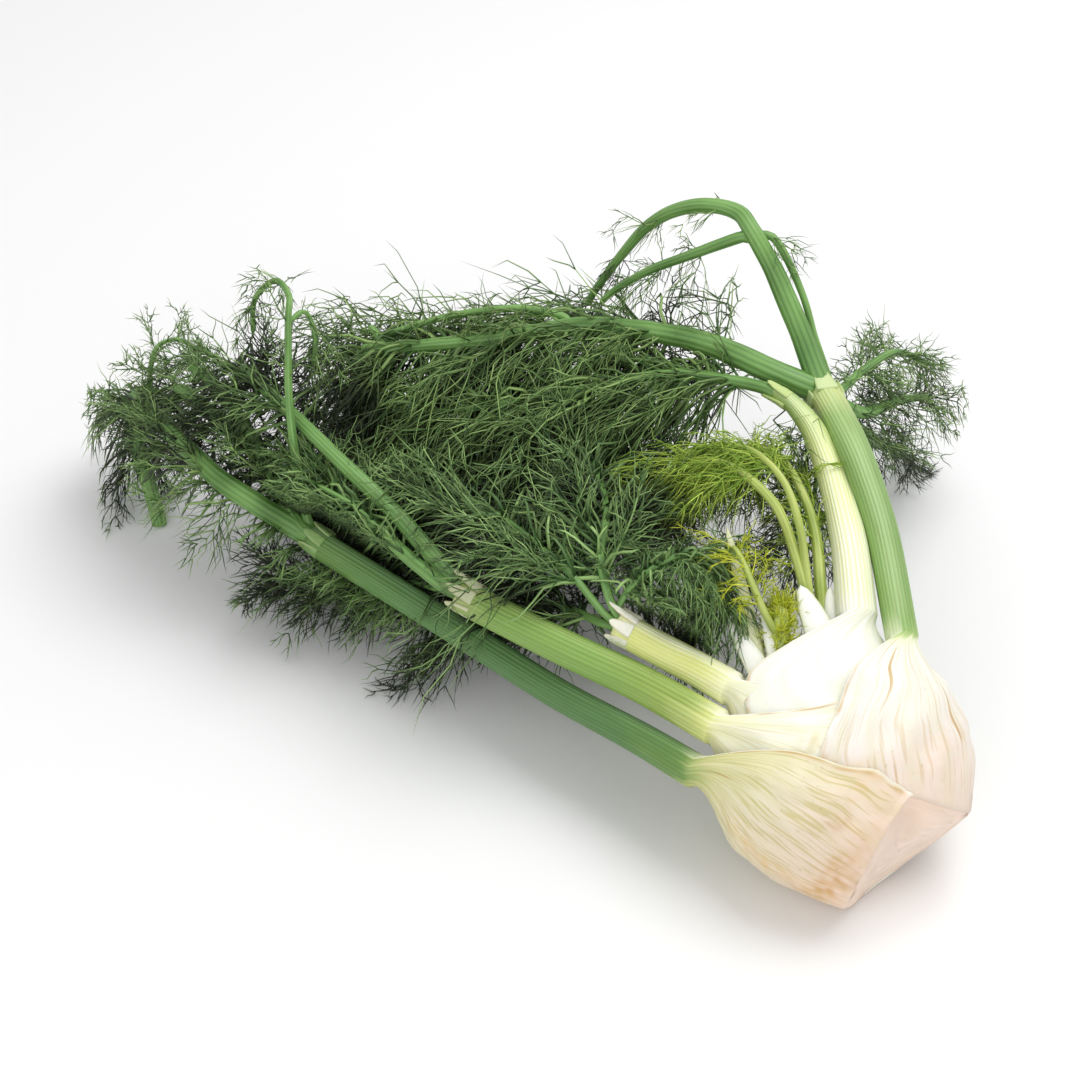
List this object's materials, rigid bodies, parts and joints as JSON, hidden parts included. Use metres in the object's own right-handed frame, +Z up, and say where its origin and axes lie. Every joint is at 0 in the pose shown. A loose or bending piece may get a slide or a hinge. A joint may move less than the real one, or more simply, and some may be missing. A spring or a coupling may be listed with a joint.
{
  "type": "fennel bulb",
  "caption": "Cut fennel bulb lying on its side: clasping leaf bases round a root plate, ribbed stalks and feathery fronds.",
  "frame": {"origin": "a point in the small flat spot under the bulb that it rests on", "axes": "+Z up, square to the surface that the bulb lies on; -Y towards the cut base, +Y and -X along the stalks"},
  "size_m": [0.4095, 0.3261, 0.1713],
  "materials": {
    "cut_base": "pale cut flesh with brown dried spots, matt and slightly moist",
    "outer_leaf": "smooth waxy skin, cream at the base to blue-green on the stalk, fine lengthwise ribs",
    "bright_leaf": "white ribbed base turning bright green on the stalk, waxy",
    "pale_leaf": "cream to yellow-green, waxy, with fine ribs",
    "heart_flesh": "white, crisp and waxy",
    "dark_frond": "fine dark green threads, slightly waxy",
    "young_frond": "fine bright yellow-green threads"
  },
  "bodies": {
    "root": {"root_plate": "cut_base", "leaf_1_left_outer": "outer_leaf", "leaf_2_right_outer": "bright_leaf", "leaf_3_left_middle": "pale_leaf", "leaf_4_right_middle": "pale_leaf", "leaf_5_left_inner": "pale_leaf", "heart": "heart_flesh", "frond_1": "dark_frond", "frond_2": "dark_frond", "frond_3": "dark_frond", "frond_4": "dark_frond", "frond_5": "dark_frond", "young_frond": "young_frond", "heart_tuft": "young_frond"}
  },
  "joints": []
}
